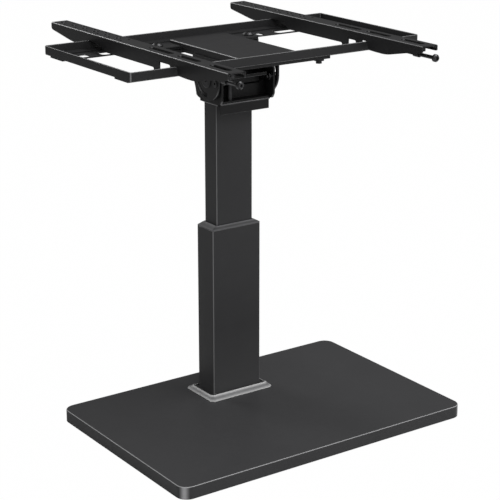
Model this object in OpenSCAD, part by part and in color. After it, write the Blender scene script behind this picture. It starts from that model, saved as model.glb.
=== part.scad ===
// Tabletop stand for a screen: flat base, two-part lifting column, tilting head with a hook-on arm tray.
// Origin on the ground under the middle of the column. X runs along the base's long side, -Y is the front.

/* [Base] */
// Width of the base pan, left to right
base_w = 467; // [440:1:500]
// Depth of the base pan, front to back
base_d = 313; // [290:1:340]
// Distance from the column's middle to the rear edge of the base
base_rear = 73; // [66:0.5:80]
// Height of the base's top face above the ground
base_top = 18; // [17:0.5:22]
// Plan radius of the base's corners
base_r = 16; // [12:1:24]
// Sheet thickness of the base pan
base_t = 2; // [1.5:0.1:2]

/* [Column] */
// Outer column width
col_w = 80; // [76:1:84]
// Outer column depth
col_d = 40; // [38:1:44]
// Top of the outer column tube
col_top = 264.5; // [250:1:280]
// Wall of both column tubes
tube_t = 2; // [1.8:0.1:2.2]
// Corner radius of the outer tube
col_r = 2.6; // [2.2:0.1:4]
// Corner radius of the inner tube
in_r = 2.4; // [2.2:0.1:3]
// Inner column width
in_w = 60; // [58:1:62]
// Inner column depth
in_d = 30; // [28.5:0.5:30]
// How far the column can be raised from the modelled height
raise_up = 20; // [10:1:20]
// How far the column can be lowered from the modelled height
lower_by = 130; // [100:1:130]

/* [Head] */
// Height of the tilt pivot
pivot_z = 478; // [478:0.5:482]
// Distance of the tilt pivot in front of the column's middle
pivot_y = -22; // [-22.5:0.5:-21.5]
// Half the outer width of the yoke's ears
ear_x = 43.5; // [43:0.1:43.5]
// Radius of the side plates' lower end
fan_r = 28.5; // [28.5:0.5:30]
// Radius on which the clamp slots lie
slot_r = 20.8; // [20.6:0.2:22]
// Width of the clamp slots
slot_w = 5.6; // [5.6:0.1:5.8]

/* [Tray] */
// Half the width of the tray
tray_x = 228.5; // [222:0.5:235]
// Front edge of the tray
tray_front = -126.4; // [-128:0.2:-124]
// Rear edge of the tray
tray_rear = 93.8; // [92:0.2:95]
// Height of the tray's upright flanges above their foot
flange_h = 12; // [11:0.5:12]
// Sheet thickness of the tray
tray_t = 1.6; // [1.2:0.1:1.6]

/* [Arms] */
// Distance of each arm from the middle
arm_at = 150; // [140:1:155]
// Width of an arm
arm_w = 26; // [24:0.5:28]
// Rear end of the arms
arm_rear = 195.3; // [188:0.5:205]
// Front end of the arms
arm_front = -239.5; // [-245:0.5:-236]
// Width of the arms' holes and slots
hole_w = 8.5; // [8:0.1:9]
// Height of the safety screws above the tray's floor
screw_up = 8; // [7:0.5:8.5]
// How far the right safety screw is turned back
screw_back = 5; // [0:1:7]

/* [Hidden] */
$fn = 64;
run = 0.05;
gap = 0.3;
pad_t = 2;
cover_t = 2;
rim_up = 0.5;
base_mid = base_rear - base_d / 2;
pan_under = base_top - base_t;
cover_top = pad_t + cover_t;
doubler_t = 4;
foot_h = 10;
foot_top = base_top + foot_h;
pad_x = base_w / 2 - 30;
pad_back = base_rear - 30;
pad_front = base_rear - base_d + 30;
boss_x = base_w / 2 - 12;
collar_x = 53;
collar_y = 35;
collar_top = base_top + 6.3;
rim_edge = col_top + 1.2;
rim_top = col_top + 5.5;
sleeve_low = col_top - 59.5;
knob_z = 245 - 264.5 + col_top;
glide_top = sleeve_low - raise_up - 1;
glide_low = foot_top + lower_by + 1;
floor_top = pivot_z - 31.4;
floor_t = 3;
in_top = floor_top - floor_t;
ear_t = 3;
plate_in = ear_x + 3;
plate_t = 3;
plate_out = plate_in + plate_t;
head_at = plate_out + gap;
bolt_end = ear_x - ear_t - 7.7;
plate_reach = fan_r + 5.5;
wall_t = 2.5;
wall_in = plate_in - wall_t;
web_top = pivot_z + 39.8;
web_t = 2.5;
strip_top = pivot_z + 35.4;
ledge_top = strip_top + 1.8;
ledge_low = ledge_top - tray_t;
strip_low = strip_top - tray_t;
rail_top = ledge_top + flange_h - 1.6;
bar_t = 4.4;
bar_low = strip_low - bar_t;
bolt_x = 75;
bolt_front = -104;
bolt_rear = 60;
arm_top = pivot_z + 58;
arm_low = pivot_z + 38.5;
notch_z = rail_top + gap;
sheet = 2;
screw_z = strip_top + screw_up;

// Extrusions of a flat outline between two stations along each axis.
module along_x(x0, x1) {
    translate([x0, 0, 0])
        rotate([90, 0, 90])
            linear_extrude(x1 - x0)
                children();
}
module along_y(y0, y1) {
    translate([0, y1, 0])
        rotate([90, 0, 0])
            linear_extrude(y1 - y0)
                children();
}
module along_z(z0, z1) {
    translate([0, 0, z0])
        linear_extrude(z1 - z0)
            children();
}

// Flat rectangle with round corners, about its own middle.
module rrect(w, d, r) {
    square([w - 2 * r, d], center = true);
    square([w, d - 2 * r], center = true);
    for (sx = [-1, 1], sy = [-1, 1])
        translate([sx * (w / 2 - r), sy * (d / 2 - r)])
            circle(r);
}

// Flat slot from one end to the other along Y, with round ends.
module slot_y(x, y0, y1, w) {
    translate([x - w / 2, y0 + w / 2])
        square([w, y1 - y0 - w]);
    translate([x, y0 + w / 2])
        circle(w / 2);
    translate([x, y1 - w / 2])
        circle(w / 2);
}

// Slab with round plan corners and a bevel round its top edge.
module bevel_slab(w, d, r, z0, z1, b) {
    along_z(z0, z1 - b)
        rrect(w, d, r);
    along_x(r - w / 2, w / 2 - r)
        polygon([[-d / 2, z1 - b], [d / 2, z1 - b], [d / 2 - b, z1], [b - d / 2, z1]]);
    along_y(r - d / 2, d / 2 - r)
        polygon([[-w / 2, z1 - b], [w / 2, z1 - b], [w / 2 - b, z1], [b - w / 2, z1]]);
    for (sx = [-1, 1], sy = [-1, 1])
        translate([sx * (w / 2 - r), sy * (d / 2 - r), z1 - b])
            cylinder(h = b, r1 = r, r2 = r - b);
}

// Block whose four sides slope in from an upright edge to a smaller top.
module skirt(w, d, r, z0, z1, z2, tw, td) {
    intersection() {
        along_z(z0, z2)
            rrect(w, d, r);
        along_y(-d, d)
            polygon([[-w / 2, z0], [w / 2, z0], [w / 2, z1], [tw / 2, z2], [-tw / 2, z2], [-w / 2, z1]]);
        along_x(-w, w)
            polygon([[-d / 2, z0], [d / 2, z0], [d / 2, z1], [td / 2, z2], [-td / 2, z2], [-d / 2, z1]]);
    }
}

// Six-sided nut or bolt head, given across its flats.
module hex(flats, h) {
    cylinder(h = h, d = flats / cos(30), $fn = 6);
}

module base_shell() {
    color([0.13, 0.13, 0.14])
    translate([0, base_mid, 0])
        difference() {
            bevel_slab(base_w, base_d, base_r, rim_up, base_top, 1.5);
            along_z(0, pan_under)
                rrect(base_w - 2 * base_t, base_d - 2 * base_t, base_r - base_t);
            translate([0, -base_mid, 0])
                foot_holes(base_top + 1, 4.5);
        }
}

// The four holes of the column's foot, drilled from below up to a given height.
module foot_holes(z, r) {
    for (sx = [-1, 1], sy = [-1, 1])
        translate([sx * 26, sy * 8, 1])
            cylinder(h = z - 1, r = r);
}

module base_doubler() {
    color([0.3, 0.3, 0.31])
    difference() {
        along_z(pan_under - doubler_t, pan_under)
            rrect(160, 100, 8);
        foot_holes(pan_under + 1, 4.5);
    }
}

module base_stiffeners() {
    color([0.3, 0.3, 0.31])
    for (y = [base_mid - 78, base_mid - 2])
        along_x(-190, 190)
            translate([y, 0])
                difference() {
                    translate([-12, cover_top])
                        square([24, pan_under - cover_top]);
                    translate([-10, cover_top - 1])
                        square([20, pan_under - cover_top - 1]);
                }
}

// Places of the cover's six screws.
module at_cover_screws() {
    for (x = [-boss_x, 0, boss_x], y = [base_mid - base_d / 2 + 12, base_mid + base_d / 2 - 12])
        translate([x == 0 ? 0 : x, x == 0 ? y : base_mid + (y - base_mid) * 0.8, 0])
            children();
}

module cover_bosses() {
    color([0.5, 0.5, 0.52])
    at_cover_screws()
        translate([0, 0, cover_top])
            difference() {
                cylinder(h = pan_under - cover_top, r = 5);
                translate([0, 0, -1])
                    cylinder(h = 9, r = 2 + run);
            }
}

module base_cover() {
    color([0.2, 0.2, 0.21])
    difference() {
        translate([0, base_mid, 0])
            along_z(pad_t, cover_top)
                rrect(base_w - 2 * base_t - gap, base_d - 2 * base_t - gap, base_r - base_t);
        at_cover_screws()
            translate([0, 0, pad_t])
                cylinder(h = cover_t, r1 = 4, r2 = 2 + run);
    }
}

module cover_screws() {
    color([0.6, 0.6, 0.62])
    at_cover_screws()
        difference() {
            union() {
                translate([0, 0, pad_t])
                    cylinder(h = cover_t, r1 = 4, r2 = 2);
                translate([0, 0, cover_top])
                    cylinder(h = 7, r = 2);
            }
            translate([0, 0, pad_t - 0.5])
                hex(2.5, 1.6);
        }
}

module base_pads() {
    color([0.08, 0.08, 0.08]) {
        for (sx = [-1, 1], y = [pad_front, pad_back])
            translate([sx * pad_x, y, 0])
                pad();
        for (y = [0, base_mid - 20])
            translate([0, y, 0])
                pad();
    }
}

// One round rubber pad with a softened lower edge.
module pad() {
    rotate_extrude()
        polygon([[0, 0], [14, 0], [15, 0.8], [15, pad_t], [0, pad_t]]);
}

module column_outer() {
    color([0.16, 0.16, 0.17])
    difference() {
        along_z(base_top, col_top)
            difference() {
                rrect(col_w, col_d, col_r);
                rrect(col_w - 2 * tube_t, col_d - 2 * tube_t, col_r - tube_t + 0.4);
            }
        knob_hole(5);
    }
}

// Hole for the clamp stem through the column's rear wall.
module knob_hole(r) {
    translate([0, col_d, knob_z])
        rotate([90, 0, 0])
            cylinder(h = col_d - in_d / 2 - 0.1, r = r);
}

module column_foot() {
    color([0.3, 0.3, 0.31])
    difference() {
        along_z(base_top, foot_top)
            rrect(col_w - 2 * tube_t, col_d - 2 * tube_t, col_r - tube_t + 0.4);
        foot_holes(foot_top + 1, 4 + run);
    }
}

module foot_washers() {
    color([0.7, 0.7, 0.72])
    for (sx = [-1, 1], sy = [-1, 1])
        translate([sx * 26, sy * 8, pan_under - doubler_t - 1.6])
            difference() {
                cylinder(h = 1.6, r = 7.7);
                translate([0, 0, -1])
                    cylinder(h = 4, r = 4 + run);
            }
}

module foot_bolts() {
    color([0.6, 0.6, 0.62])
    for (sx = [-1, 1], sy = [-1, 1])
        translate([sx * 26, sy * 8, pan_under - doubler_t - 1.6 - 5]) {
            hex(13, 5);
            translate([0, 0, 5])
                cylinder(h = 17, r = 4);
        }
}

module column_collar() {
    color([0.26, 0.26, 0.27])
    difference() {
        intersection() {
            along_y(-90, 90)
                collar_slope(collar_x, col_w / 2 + 7.1);
            along_x(-90, 90)
                collar_slope(collar_y, col_d / 2 + 5.7);
            rotate([0, 0, 45])
                along_x(-90, 90)
                    collar_slope((collar_x + collar_y - 5.5) / sqrt(2), (col_w / 2 + col_d / 2 + 9.3) / sqrt(2));
            rotate([0, 0, -45])
                along_x(-90, 90)
                    collar_slope((collar_x + collar_y - 5.5) / sqrt(2), (col_w / 2 + col_d / 2 + 9.3) / sqrt(2));
        }
        along_z(base_top - 1, collar_top + 1)
            rrect(col_w + gap, col_d + gap, col_r);
    }
}

// One pair of the collar's sloping sides, given by their distance from the middle below and above.
module collar_slope(low, top) {
    polygon([[-low, base_top], [low, base_top], [low, base_top + 0.8], [top, collar_top],
        [-top, collar_top], [-low, base_top + 0.8]]);
}

module guide_bush() {
    color([0.32, 0.32, 0.33])
    difference() {
        union() {
            skirt(col_w, col_d, col_r, col_top, rim_edge, rim_top, in_w + 3, in_d + 3);
            along_z(sleeve_low, col_top)
                rrect(col_w - 2 * tube_t - 0.1, col_d - 2 * tube_t - 0.1, col_r - tube_t + 0.4);
        }
        along_z(sleeve_low - 1, rim_top + 1)
            rrect(in_w + 2 * gap, in_d + 2 * gap, in_r + gap);
        knob_hole(5);
    }
}

module height_boss() {
    color([0.16, 0.16, 0.17])
    translate([0, col_d / 2, knob_z])
        rotate([-90, 0, 0])
            difference() {
                union() {
                    cylinder(h = 9, r = 8);
                    hex(20, 3);
                }
                translate([0, 0, -1])
                    cylinder(h = 12, r = 4 + run);
            }
}

module height_stem() {
    color([0.7, 0.7, 0.72])
    translate([0, in_d / 2 + gap, knob_z])
        rotate([-90, 0, 0])
            cylinder(h = col_d / 2 + 15 - in_d / 2 - gap, r = 4);
}

module height_knob() {
    color([0.1, 0.1, 0.1])
    translate([0, col_d / 2 + 9 + gap, knob_z])
        rotate([-90, 0, 0])
            difference() {
                union() {
                    cylinder(h = 4, r1 = 8, r2 = 10);
                    translate([0, 0, 4])
                        cylinder(h = 11, r = 10);
                    for (a = [0:60:300])
                        rotate([0, 0, a])
                            translate([9.5, 0, 4])
                                cylinder(h = 11, r = 4);
                    translate([0, 0, 15])
                        cylinder(h = 1.5, r1 = 9, r2 = 7.5);
                }
                translate([0, 0, -1])
                    cylinder(h = 6.7, r = 4);
            }
}

module column_inner() {
    color([0.16, 0.16, 0.17])
    along_z(glide_low + 3, in_top)
        difference() {
            rrect(in_w, in_d, in_r);
            rrect(in_w - 2 * tube_t, in_d - 2 * tube_t, in_r - tube_t + 0.4);
        }
}

module inner_glide() {
    color([0.12, 0.12, 0.12])
    difference() {
        along_z(glide_low, glide_top)
            rrect(col_w - 2 * tube_t - 2 * gap, col_d - 2 * tube_t - 2 * gap, 2);
        along_z(glide_low + 3, glide_top + 1)
            rrect(in_w, in_d, in_r);
    }
}

module column_cap() {
    color([0.3, 0.3, 0.31])
    difference() {
        along_z(in_top - 18, in_top)
            rrect(in_w - 2 * tube_t, in_d - 2 * tube_t, in_r - tube_t + 0.4);
        for (sx = [-1, 1])
            translate([sx * 18, 0, in_top - 19])
                cylinder(h = 20, r = 4 + run);
    }
}

// Outline of an ear seen from the side.
module ear_outline() {
    y = pivot_y + 22;
    z = pivot_z - 478;
    translate([y, z])
        polygon([[-48.5, 453], [-44.5, 446.6], [-3.6, 446.6], [7.4, 449], [12.5, 451.6], [13, 455],
            [15, 462.5], [18, 469.4], [18, 478], [8, 494], [-36, 498], [-48.5, 490]]);
}

module yoke() {
    color([0.17, 0.17, 0.18])
    difference() {
        union() {
            for (x = [-ear_x, ear_x - ear_t])
                along_x(x, x + ear_t)
                    ear_outline();
            along_x(-ear_x + ear_t, ear_x - ear_t)
                translate([-38, in_top])
                    square([46, floor_t]);
            along_y(-38, pivot_y + 18.4)
                floor_bends();
            along_x(-38.9, 38.9)
                lip_outline();
            // rear tie between the ears
            along_y(8.4, 10.9)
                translate([-ear_x + 1, floor_top + 7])
                    square([2 * ear_x - 2, pivot_z - floor_top - 3]);
        }
        for (sx = [-1, 1])
            translate([sx * 18, 0, in_top - 1])
                cylinder(h = floor_t + 2, r = 4.2);
        translate([-21, -34, in_top - 1])
            cylinder(h = floor_t + 2, r = 4 + run);
        at_pivot()
            translate([0, 0, -60])
                cylinder(h = 120, r = 4 + run);
        at_clamps()
            translate([0, 0, -60])
                cylinder(h = 120, r = 2.5 + run);
    }
}

// Floor with round bends up into the two ears, seen from the front.
module floor_bends() {
    translate([ear_t - ear_x, in_top])
        square([2 * (ear_x - ear_t), floor_t]);
    for (x = [ear_t - ear_x, ear_x - ear_t])
        intersection() {
            translate([x, floor_top])
                circle(ear_t);
            translate([x < 0 ? -ear_x : x, in_top])
                square([ear_t, floor_t + 0.4]);
        }
}

// Floor's front edge bent down into the lip.
module lip_outline() {
    translate([-40.9, in_top - 11.6])
        square([floor_t, 11.6]);
    intersection() {
        translate([-37.9, in_top])
            circle(floor_t);
        translate([-41, in_top])
            square([3.2, 4]);
    }
}

// Turns a part's Z along +X with its origin on the tilt pivot's axis.
module at_pivot() {
    translate([0, pivot_y, pivot_z])
        rotate([90, 0, 90])
            children();
}

// The same at the two clamp bolts of each side.
module at_clamps() {
    at_pivot()
        for (a = [5, 185])
            rotate([0, 0, a])
                translate([slot_r, 0, 0])
                    rotate([0, 0, -a])
                        children();
}

module yoke_bolts() {
    color([0.6, 0.6, 0.62])
    for (sx = [-1, 1])
        translate([sx * 18, 0, floor_top])
            difference() {
                union() {
                    cylinder(h = 2.4, r = 7);
                    translate([0, 0, 2.4])
                        cylinder(h = 1.8, r1 = 7, r2 = 4.5);
                    translate([0, 0, -19])
                        cylinder(h = 19, r = 4);
                }
                translate([0, 0, 1.2])
                    hex(5, 4);
            }
}

module cross_channel() {
    flange_z = pivot_z + 1.3;
    color([0.2, 0.2, 0.21])
    difference() {
        union() {
            along_y(-27, -24.5)
                translate([-ear_x + ear_t, floor_top])
                    square([2 * (ear_x - ear_t), 21.4]);
            along_y(-27, -24.5)
                translate([-32.5, floor_top + 21.4])
                    square([65, flange_z + 4 - floor_top - 21.4]);
            along_z(floor_top, floor_top + 2.5)
                translate([-ear_x + ear_t, -40.5])
                    square([2 * (ear_x - ear_t), 14]);
            along_z(flange_z, flange_z + 4.2)
                translate([-32.5, -45])
                    square([65, 20.5]);
        }
        translate([-21, -34, floor_top - 1])
            cylinder(h = 60, r = 4 + run);
        translate([12.9, -30, floor_top + 13.3])
            rotate([-90, 0, 0])
                cylinder(h = 10, r = 1.6);
    }
}

module channel_bolt() {
    head_z = pivot_z + 5.5;
    color([0.55, 0.55, 0.57])
    translate([-21, -34, 0]) {
        translate([0, 0, in_top])
            cylinder(h = head_z - in_top, r = 4);
        translate([0, 0, head_z])
            hex(13, 5);
    }
}

module friction_washers() {
    color([0.35, 0.35, 0.36])
    for (x = [ear_x, -ear_x - 2.7])
        at_pivot()
            translate([0, 0, x])
                difference() {
                    cylinder(h = 2.7, r = 14);
                    translate([0, 0, -1])
                        cylinder(h = 5, r = 4 + run);
                }
}

// A bolt through one side, its head outwards, then the same mirrored.
module both_sides() {
    children();
    mirror([1, 0, 0])
        children();
}

module pivot_bolts() {
    color([0.5, 0.5, 0.52])
    both_sides()
        at_pivot()
            difference() {
                union() {
                    translate([0, 0, bolt_end])
                        cylinder(h = head_at - bolt_end, r = 4);
                    translate([0, 0, head_at])
                        cylinder(h = 0.7, r = 10.8);
                    translate([0, 0, head_at + 0.7])
                        cylinder(h = 0.5, r1 = 10.8, r2 = 9.6);
                }
                translate([0, 0, head_at - 1.5])
                    hex(5, 4);
            }
}

module pivot_washers() {
    color([0.5, 0.5, 0.52])
    both_sides()
        at_pivot()
            translate([0, 0, ear_x - ear_t - 1.2])
                difference() {
                    cylinder(h = 1.2, r = 8.4);
                    translate([0, 0, -1])
                        cylinder(h = 4, r = 4 + run);
                }
}

module pivot_nuts() {
    color([0.5, 0.5, 0.52])
    both_sides()
        at_pivot()
            translate([0, 0, ear_x - ear_t - 7.2])
                difference() {
                    hex(13, 6);
                    translate([0, 0, -1])
                        cylinder(h = 8, r = 4 + run);
                }
}

module clamp_bolts() {
    color([0.5, 0.5, 0.52])
    both_sides()
        at_clamps()
            difference() {
                union() {
                    translate([0, 0, bolt_end])
                        cylinder(h = head_at - bolt_end, r = 2.5);
                    translate([0, 0, head_at])
                        cylinder(h = 0.6, r = 5);
                    translate([0, 0, head_at + 0.6])
                        cylinder(h = 0.4, r1 = 5, r2 = 4.2);
                }
                translate([0, 0, head_at - 1])
                    hex(3, 3);
            }
}

module clamp_washers() {
    color([0.5, 0.5, 0.52])
    both_sides()
        at_clamps()
            translate([0, 0, ear_x - ear_t - 1])
                difference() {
                    cylinder(h = 1, r = 4.5);
                    translate([0, 0, -1])
                        cylinder(h = 3, r = 2.5 + run);
                }
}

module clamp_nuts() {
    color([0.5, 0.5, 0.52])
    both_sides()
        at_clamps()
            translate([0, 0, ear_x - ear_t - 5])
                difference() {
                    hex(8, 4);
                    translate([0, 0, -1])
                        cylinder(h = 6, r = 2.5 + run);
                }
}

module bridge() {
    color([0.17, 0.17, 0.18])
    difference() {
        union() {
            along_y(-105, 72.5)
                bridge_web();
            along_y(-86, 43)
                bridge_walls();
            both_sides()
                along_x(wall_in, plate_in) {
                    bridge_tab();
                    translate([-64, pivot_z + 28])
                        square([20, web_top - web_t - pivot_z - 28]);
                }
            both_sides()
                along_x(wall_in, wall_in + 1.3)
                    translate([0, pivot_z + 27])
                        square([43, web_top - web_t - pivot_z - 27]);
        }
        at_pivot()
            translate([0, 0, -60])
                cylinder(h = 120, r = slot_r + 4);
    }
}

// Plate of the bridge with its round outer bends, seen from the front.
module bridge_web() {
    intersection() {
        translate([-plate_in, web_top - web_t])
            square([2 * plate_in, web_t]);
        union() {
            translate([-plate_in + web_t, web_top - web_t - 4])
                square([2 * (plate_in - web_t), web_t + 4]);
            for (sx = [-1, 1])
                translate([sx * (plate_in - web_t), web_top - web_t])
                    circle(web_t);
        }
    }
}

// Edges of the bridge bent down between the tray's two strips.
module bridge_walls() {
    for (x = [-plate_in, wall_in])
        translate([x, web_top - 7.4])
            square([wall_t, 7.4 - web_t]);
}

// Deeper part of a wall that the side plate is welded to, seen from the side.
module bridge_tab() {
    translate([pivot_y - fan_r, pivot_z + 14])
        square([fan_r + plate_reach, web_top - web_t - pivot_z - 14]);
}

module bridge_spacers() {
    color([0.17, 0.17, 0.18])
    for (y = [[-105, -88.4], [45.1, 72.5]])
        along_z(strip_top, web_top - web_t)
            translate([-40, y[0]])
                square([80, y[1] - y[0]]);
}

// Side plate seen from the side, about the pivot, with its two clamp slots.
module fan_outline() {
    difference() {
        union() {
            circle(fan_r);
            polygon([[-fan_r, 0], [fan_r, 0], [plate_reach, 14], [plate_reach, 30], [-fan_r, 30]]);
        }
        circle(4 + run);
        for (a = [-85, 95])
            rotate(a)
                arc_slot(90);
    }
}

// Curved slot that starts on the X axis and runs through a given angle.
module arc_slot(sweep) {
    intersection() {
        difference() {
            circle(slot_r + slot_w / 2);
            circle(slot_r - slot_w / 2);
        }
        square(40);
    }
    for (a = [0, sweep])
        rotate(a)
            translate([slot_r, 0])
                circle(slot_w / 2);
}

module side_plate_right() {
    color([0.19, 0.19, 0.2])
    translate([plate_in, pivot_y, pivot_z])
        rotate([90, 0, 90])
            linear_extrude(plate_t)
                fan_outline();
}

module side_plate_left() {
    mirror([1, 0, 0])
        side_plate_right();
}

// Cross bar under a strip, drilled for its two bolts.
module bar(y0, y1, y_bolt) {
    color([0.17, 0.17, 0.18])
    difference() {
        along_z(bar_low, strip_low)
            translate([-84, y0])
                square([168, y1 - y0]);
        for (sx = [-1, 1])
            translate([sx * bolt_x, y_bolt, bar_low - 1])
                cylinder(h = bar_t + 2, r = 4 + run);
    }
}

module bar_front() {
    bar(-118, -92, bolt_front);
}

module bar_rear() {
    bar(47, 73, bolt_rear);
    color([0.17, 0.17, 0.18])
        along_z(bar_low - 4.6, strip_low)
            translate([-84, 47])
                square([168, 3]);
}

module tray() {
    win_y0 = -88;
    win_y1 = 44.7;
    color([0.18, 0.18, 0.19])
    difference() {
        union() {
            difference() {
                tray_ring(strip_low, rail_top, 0);
                tray_ring(ledge_top, rail_top + 1, 2);
            }
        }
        // raised ledges are open below
        along_z(strip_low - 1, ledge_low)
            for (y = [[tray_front + 6.4 - 40, tray_front + 6.4], [win_y0, win_y1], [78, 130]])
                translate([-tray_x - 1, y[0]])
                    square([2 * tray_x + 2, y[1] - y[0]]);
        // lower strips are open above
        along_z(strip_top, ledge_top + 1)
            for (y = [[tray_front + 8, win_y0], [win_y1, 76.4]])
                translate([-tray_x + 2, y[0]])
                    square([2 * tray_x - 4, y[1] - y[0]]);
        // window between the strips
        along_z(strip_low - 1, ledge_top + 1)
            translate([0, (win_y0 + win_y1) / 2])
                rrect(2 * tray_x - 29, win_y1 - win_y0, 2);
        // slots in the strips
        along_z(strip_low - 1, ledge_top + 1)
            for (x = [[-214, -183], [-166, -119], [-97, -87], [87, 97], [119, 166], [183, 214]],
                 y = [[-114, -96], [48, 66]])
                translate([(x[0] + x[1]) / 2, (y[0] + y[1]) / 2])
                    rrect(x[1] - x[0], y[1] - y[0], 4.5);
        for (sx = [-1, 1], y = [bolt_front, bolt_rear])
            translate([sx * bolt_x, y, strip_low - 1])
                cylinder(h = tray_t + 2, r = 4 + run);
    }
}

// Solid plate of the tray's outline between two heights, drawn in by a margin.
module tray_ring(z0, z1, m) {
    translate([0, (tray_front + tray_rear) / 2, 0])
        along_z(z0, z1)
            rrect(2 * (tray_x - m), tray_rear - tray_front - 2 * m, 3.5 - m);
}

module tray_bolts() {
    color([0.5, 0.5, 0.52])
    for (sx = [-1, 1], y = [bolt_front, bolt_rear])
        translate([sx * bolt_x, y, 0])
            difference() {
                union() {
                    translate([0, 0, strip_top - 13.9])
                        cylinder(h = 13.9, r = 4);
                    translate([0, 0, strip_top])
                        cylinder(h = 1.4, r = 8);
                    translate([0, 0, strip_top + 1.4])
                        cylinder(h = 2.6, r1 = 8, r2 = 5);
                }
                translate([0, 0, strip_top + 1.5])
                    hex(5, 4);
            }
}

module tray_nuts() {
    color([0.5, 0.5, 0.52])
    for (sx = [-1, 1], y = [bolt_front, bolt_rear])
        translate([sx * bolt_x, y, bar_low - 4])
            difference() {
                hex(13, 4);
                translate([0, 0, -1])
                    cylinder(h = 6, r = 4 + run);
            }
}

// Side of an arm seen from the right, with the hook for the rear flange and the seat over the front one.
module arm_outline() {
    rear = tray_rear + 2;
    front = tray_front - 2.6;
    polygon([[arm_rear, arm_top], [arm_rear, arm_top - 9], [arm_rear - 4, arm_top - 10.2],
        [140, arm_top - 18], [rear + 2, arm_top - 21], [rear, arm_top - 19], [rear, notch_z],
        [60, notch_z], [57, notch_z - 2.6], [50, arm_low + 0.5], [44, arm_low], [-72.5, arm_low],
        [-74, arm_low - 1.5], [-74, arm_low - 4], [-75.5, arm_low - 5.5], [-84.5, arm_low - 5.5],
        [-86, arm_low - 4], [-87, notch_z], [front + 1, notch_z], [front, notch_z - 1],
        [front - 2, arm_low - 1.5], [-145, arm_low - 2.2], [-168, arm_low - 2.5],
        [-213, arm_top - 12.6], [-221, arm_top - 13.3], [arm_front, arm_top - 8.5],
        [arm_front, arm_top]]);
}

// Cross section of an arm: top web and two sides, seen from the front.
module arm_section() {
    difference() {
        union() {
            translate([-arm_w / 2, arm_top - 40])
                square([arm_w, 38]);
            translate([-arm_w / 2 + 2, arm_top - 3])
                square([arm_w - 4, 3]);
            for (sx = [-1, 1])
                translate([sx * (arm_w / 2 - 2), arm_top - 2])
                    circle(2);
        }
        translate([-arm_w / 2 + sheet, arm_top - 41])
            square([arm_w - 2 * sheet, 41 - sheet]);
    }
}

module arm(x) {
    color([0.17, 0.17, 0.18])
    translate([x, 0, 0])
        difference() {
            intersection() {
                along_y(arm_front, arm_rear)
                    arm_section();
                along_x(-arm_w / 2 - 1, arm_w / 2 + 1)
                    arm_outline();
            }
            // the right side is cut back at the front end
            along_x(0, arm_w)
                translate([arm_front - 1, arm_top - 40])
                    square([37.5, 32]);
            along_z(arm_top - sheet - 1, arm_top + 1) {
                for (y = [[-98, -43], [-160, -111], [-227, -183]])
                    slot_y(0, y[0], y[1], hole_w);
                for (y = [35:30:185])
                    translate([0, y])
                        circle(hole_w / 2);
                for (y = [20:30:170], sx = [-1, 1])
                    slot_y(sx * 6.5, y - 4, y + 4, 3.4);
            }
        }
}

module arm_left() {
    arm(-arm_at);
}

module arm_right() {
    arm(arm_at);
}

module nut_block(x) {
    color([0.5, 0.5, 0.52])
    translate([x, 0, 0])
        difference() {
            union() {
                along_y(-218.6, -206)
                    translate([-arm_w / 2 + sheet, screw_z + 2.6])
                        square([arm_w - 2 * sheet, arm_top - sheet - screw_z - 2.6]);
                along_y(-220, -210)
                    nut_boss();
            }
            // runs under the long slot, relieved for a fixing bolt
            along_z(screw_z + 5, arm_top)
                slot_y(0, -227, -183, hole_w + 4);
            translate([0, -222, screw_z])
                rotate([-90, 0, 0])
                    cylinder(h = 18, r = 2.5 + run);
        }
}

// Threaded boss that hangs below the arm's side, seen from the front.
module nut_boss() {
    translate([0, screw_z])
        circle(4);
    translate([-4, screw_z])
        square([8, 4]);
}

module nut_block_left() {
    nut_block(-arm_at);
}

module nut_block_right() {
    nut_block(arm_at);
}

module safety_screw(x, out) {
    tip = tray_front - 0.4 - out;
    head = -244 - out;
    color([0.5, 0.5, 0.52])
    translate([x, 0, screw_z])
        rotate([90, 0, 0])
            difference() {
                union() {
                    translate([0, 0, -tip])
                        cylinder(h = tip - head, r = 2.5);
                    translate([0, 0, -head])
                        cylinder(h = 3, r = 5);
                    translate([0, 0, 3 - head])
                        cylinder(h = 2, r1 = 5, r2 = 3.6);
                }
                translate([0, 0, 2.4 - head])
                    hex(4, 4);
            }
}

module safety_screw_left() {
    safety_screw(-arm_at, 0);
}

module safety_screw_right() {
    safety_screw(arm_at, screw_back);
}

base_shell();
base_doubler();
base_stiffeners();
cover_bosses();
base_cover();
cover_screws();
base_pads();
column_outer();
column_foot();
foot_washers();
foot_bolts();
column_collar();
guide_bush();
height_boss();
height_stem();
height_knob();
column_inner();
inner_glide();
column_cap();
yoke();
yoke_bolts();
cross_channel();
channel_bolt();
friction_washers();
pivot_bolts();
pivot_washers();
pivot_nuts();
clamp_bolts();
clamp_washers();
clamp_nuts();
bridge();
bridge_spacers();
side_plate_left();
side_plate_right();
bar_front();
bar_rear();
tray();
tray_bolts();
tray_nuts();
arm_left();
arm_right();
nut_block_left();
nut_block_right();
safety_screw_left();
safety_screw_right();
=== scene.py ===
# %% [markdown]
# # A tabletop stand for a screen
# The real object is folded and welded sheet steel with a black powder coat: a flat base pan, a column of two
# rectangular tubes, and a tilting head with a tray and two hook-on arms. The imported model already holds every
# solid at its true size, so this lesson dresses it: folded parts get the round bends that a press brake
# leaves, and every surface gets a finish made of nodes. Lengths are written in millimetres, as on a drawing,
# and each finished mesh is scaled to metres once.

from math import atan2, cos, pi, radians, sin

import bmesh
import bpy
from mathutils import Matrix, Vector


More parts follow.
